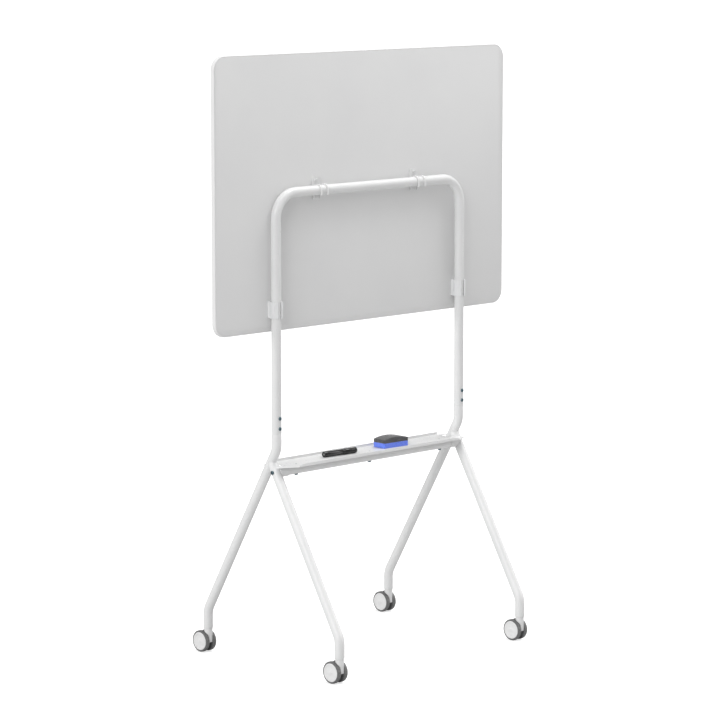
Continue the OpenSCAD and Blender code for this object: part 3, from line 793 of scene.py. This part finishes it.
MARKER_AT = Vector((115.2, 25.5, 0)) * MM
MARKER_TURN = math.radians(-3.5)
ERASER_AT = Vector((-105.8, 20.5, 0)) * MM
ERASER_TURN = math.radians(-3)
MARKER_L = 126 * MM
MARKER_R = span("marker_cap").z / 2
ERASER_SIZE = Vector((97, 50, 15)) * MM
GRIP_H = 17 * MM
ARCH_R = 180 * MM


def lying(at, turn, z):
    return Matrix.Translation((at.x, at.y, z)) @ Matrix.Rotation(turn, 4, "Z")


def ribbed(mesh, start, end, count, depth):
    """Presses lengthwise grooves into the part of a lathed mesh between x = start and x = end."""
    for vertex in mesh.vertices:
        co = vertex.co
        radius = math.hypot(co.y, co.z)
        if start < co.x < end and radius > MARKER_R * 0.9:
            angle = math.atan2(co.z, co.y)
            dent = depth * max(0.0, math.sin(angle * count)) ** 2
            co.y *= 1 - dent / radius
            co.z *= 1 - dent / radius


def build_marker():
    r = MARKER_R
    half = MARKER_L / 2
    place = lying(MARKER_AT, MARKER_TURN, middle("marker_cap").z)
    nib_end = 8 * MM - half
    cap_end = 46 * MM - half
    barrel = [(0, nib_end), (1.2 * MM, nib_end), (2.2 * MM, nib_end + 2 * MM), (2.2 * MM, 30 * MM - half),
              (r - 2.2 * MM, 30 * MM - half), (r - 2 * MM, 30.3 * MM - half),
              (r - 2 * MM, cap_end + 0.3 * MM), (r - 0.7 * MM, cap_end + 0.3 * MM),
              (r - 0.4 * MM, cap_end + 0.7 * MM)]
    for offset in (8, 10):
        ring = cap_end + offset * MM
        barrel += [(r - 0.4 * MM, ring), (r - 0.75 * MM, ring + 0.3 * MM), (r - 0.75 * MM, ring + 0.7 * MM),
                   (r - 0.4 * MM, ring + MM)]
    barrel += [(r - 0.4 * MM, half - 9 * MM), (r - 0.9 * MM, half - 8.6 * MM), (r - 0.9 * MM, half - 8.2 * MM),
               (r - 0.4 * MM, half - 7.8 * MM), (r - 0.4 * MM, half - 1.1 * MM)]
    barrel += [(r - 0.4 * MM - 1.1 * MM * (1 - math.cos(a)), half - 1.1 * MM * (1 - math.sin(a)))
               for a in (math.radians(d) for d in (30, 60, 90))]
    barrel += [(r - 2 * MM, half), (r - 2.4 * MM, half - 0.4 * MM), (r - 2.6 * MM, half - 2.5 * MM),
               (4.4 * MM, half - 2.5 * MM), (4.2 * MM, half - 2.1 * MM), (3.8 * MM, half - 1.4 * MM),
               (3 * MM, half - 0.8 * MM), (1.6 * MM, half - 0.35 * MM), (0, half - 0.2 * MM)]
    mesh = lathe_mesh("marker_body", barrel, 144, math.radians(50))
    ribbed(mesh, cap_end + 12 * MM, half - 9.2 * MM, 10, 0.45 * MM)
    piece_of("marker_body", mesh, "marker", "marker_barrel", place)
    cap = [(0, -half)]
    cap += [(r - 2.2 * MM + 2.2 * MM * math.sin(a), -half + 2.2 * MM * (1 - math.cos(a)))
            for a in (math.radians(d) for d in (0, 20, 40, 60, 80))]
    grip_end = 30 * MM - half
    cap += [(r, -half + 3 * MM + k * (grip_end + half - 3 * MM) / 6) for k in range(7)]
    cap += [(r, cap_end - 2.4 * MM), (r - 0.3 * MM, cap_end - 2 * MM), (r - 0.3 * MM, cap_end - 1.6 * MM),
            (r, cap_end - 1.2 * MM), (r, cap_end - 0.3 * MM), (r - 0.3 * MM, cap_end), (r - 1.7 * MM, cap_end),
            (r - 2 * MM, cap_end - 0.3 * MM), (r - 2 * MM, 4 * MM - half), (0, 4 * MM - half)]
    mesh = lathe_mesh("marker_cap", cap, 144, math.radians(50))
    ribbed(mesh, 4 * MM - half, grip_end - 0.1 * MM, 24, 0.35 * MM)
    piece_of("marker_cap_moulding", mesh, "marker", "marker_cap", place)


def rounded_outline(size, radius, inset, side_steps=40, arc_steps=8):
    """A rounded rectangle as two matching lists, its +y side and its -y side, both from -x to +x."""
    hx, hy = size.x / 2 - inset, size.y / 2 - inset
    r = max(radius - inset, 0.2 * MM)
    upper = []
    for i in range(arc_steps + 1):
        angle = math.pi - math.pi / 2 * i / arc_steps
        upper.append((-hx + r + r * math.cos(angle), hy - r + r * math.sin(angle)))
    for i in range(1, side_steps):
        upper.append((-hx + r + (2 * hx - 2 * r) * i / side_steps, hy))
    for i in range(arc_steps + 1):
        angle = math.pi / 2 - math.pi / 2 * i / arc_steps
        upper.append((hx - r + r * math.cos(angle), hy - r + r * math.sin(angle)))
    return upper, [(x, -y) for x, y in upper]


def block_mesh(name, size, corner_r, layers, height_at, wobble):
    """Closed block of stacked outlines. layers holds (inset, share of the height), height_at(x) the top."""
    bm = bmesh.new()
    rows = []
    for inset, share in layers:
        upper, lower = rounded_outline(size, corner_r, inset)
        loop = upper + lower[::-1]
        ring = []
        for x, y in loop:
            p = Vector((x, y, height_at(x) * share))
            p += wobble * Vector((noise.noise(p * 420), noise.noise(p * 420 + Vector((7, 0, 0))), 0))
            ring.append(bm.verts.new(p))
        rows.append(ring)
    count = len(rows[0])
    half = count // 2
    for a, b in zip(rows, rows[1:]):
        for i in range(count):
            j = (i + 1) % count
            bm.faces.new((a[i], a[j], b[j], b[i]))
    for ring in (rows[0], rows[-1]):
        for i in range(half - 1):
            bm.faces.new((ring[i], ring[i + 1], ring[count - 2 - i], ring[count - 1 - i]))
    return mesh_from(bm, name, math.radians(60))


def felt_layers(count, groove):
    """Sides of a stack of felt sheets, pinched where one meets the next."""
    layers = [(1.2 * MM, 0.0), (0.4 * MM, 0.03)]
    for k in range(count):
        low, high = k / count, (k + 1) / count
        layers += [(0.0, low + 0.25 / count), (0.0, high - 0.25 / count)]
        if k < count - 1:
            layers.append((groove, high))
    return layers + [(0.3 * MM, 0.985), (0.8 * MM, 1.0)]


def build_eraser():
    place = lying(ERASER_AT, ERASER_TURN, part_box("eraser_pad")[0].z)
    pad = block_mesh("felt_pad", ERASER_SIZE, 3 * MM, felt_layers(5, 0.45 * MM),
                     lambda x: ERASER_SIZE.z, 0.18 * MM)
    felt = piece_of("eraser_felt_pad", pad, "eraser", "eraser_pad", place)
    lift = Matrix.Translation((0, 0, ERASER_SIZE.z))
    layers = [(0.6 * MM, 0.0), (0.1 * MM, 0.04), (0.0, 0.1), (0.0, 0.45), (0.0, 0.82), (0.25 * MM, 0.9),
              (0.8 * MM, 0.955), (1.7 * MM, 0.988), (3 * MM, 1.0)]
    grip = block_mesh("grip", ERASER_SIZE, 3 * MM, layers,
                      lambda x: GRIP_H - ARCH_R + math.sqrt(ARCH_R ** 2 - x ** 2), 0.05 * MM)
    piece_of("eraser_arched_grip", grip, "eraser", "eraser_grip", place @ lift)


build_marker()
build_eraser()


# ---------------------------------------------------------------- floor and light

LAMP_ANGLE = math.radians(34)


def floor_material():
    """Pale floor, lifted to near white where the camera sees it so that only soft shadows show."""
    look = Look("pale_floor", grey(0.53), 0.9, specular_ior_level=0.1)
    look.paint(look.mixed(look.ranged(look.noise(1.5, 3), 0.3, 0.7), grey(0.52), grey(0.54)))
    seen = look.nodes.new("ShaderNodeLightPath").outputs["Is Camera Ray"]
    look.shader.inputs["Emission Color"].default_value = (1, 1, 1, 1)
    look.links.new(look.math("MULTIPLY", seen, 0.66), look.shader.inputs["Emission Strength"])
    return look.material


def add_floor():
    bm = bmesh.new()
    skin(bm, [circle_points(Vector((0, 0, z)), X_AXIS, Y_AXIS, 120, 96) for z in (-0.02, 0)], caps=True)
    floor = bpy.data.objects.new("floor", mesh_from(bm, "floor"))
    floor.data.materials.append(floor_material())
    bpy.context.scene.collection.objects.link(floor)


def add_world(strength):
    world = bpy.data.worlds.new("studio")
    world.use_nodes = True
    nodes, links = world.node_tree.nodes, world.node_tree.links
    background = nodes["Background"]
    background.inputs["Color"].default_value = (1, 1, 1, 1)
    seen = nodes.new("ShaderNodeLightPath").outputs["Is Camera Ray"]
    level = nodes.new("ShaderNodeMapRange")
    links.new(seen, level.inputs["Value"])
    level.inputs["To Min"].default_value = strength
    level.inputs["To Max"].default_value = 1.1
    links.new(level.outputs[0], background.inputs["Strength"])
    bpy.context.scene.world = world


def add_lamp(name, towards, strength):
    """A distant soft lamp, whose light comes from the direction towards."""
    data = bpy.data.lights.new(name, "SUN")
    data.angle = LAMP_ANGLE
    data.energy = strength
    lamp = bpy.data.objects.new(name, data)
    lamp.rotation_mode = "QUATERNION"
    lamp.rotation_quaternion = Vector(towards).to_track_quat("Z", "Y")
    bpy.context.scene.collection.objects.link(lamp)


add_floor()
add_world(0.37)
add_lamp("overhead", (-0.45, 0.15, 1), 2.45)
add_lamp("left_key", (1, 0.35, 0.5), 1.33)
add_lamp("left_front", (1, -0.6, 0.5), 0.8)
add_lamp("right_fill", (-1, 0.35, 0.5), 0.39)
bpy.context.scene.view_settings.view_transform = "Standard"
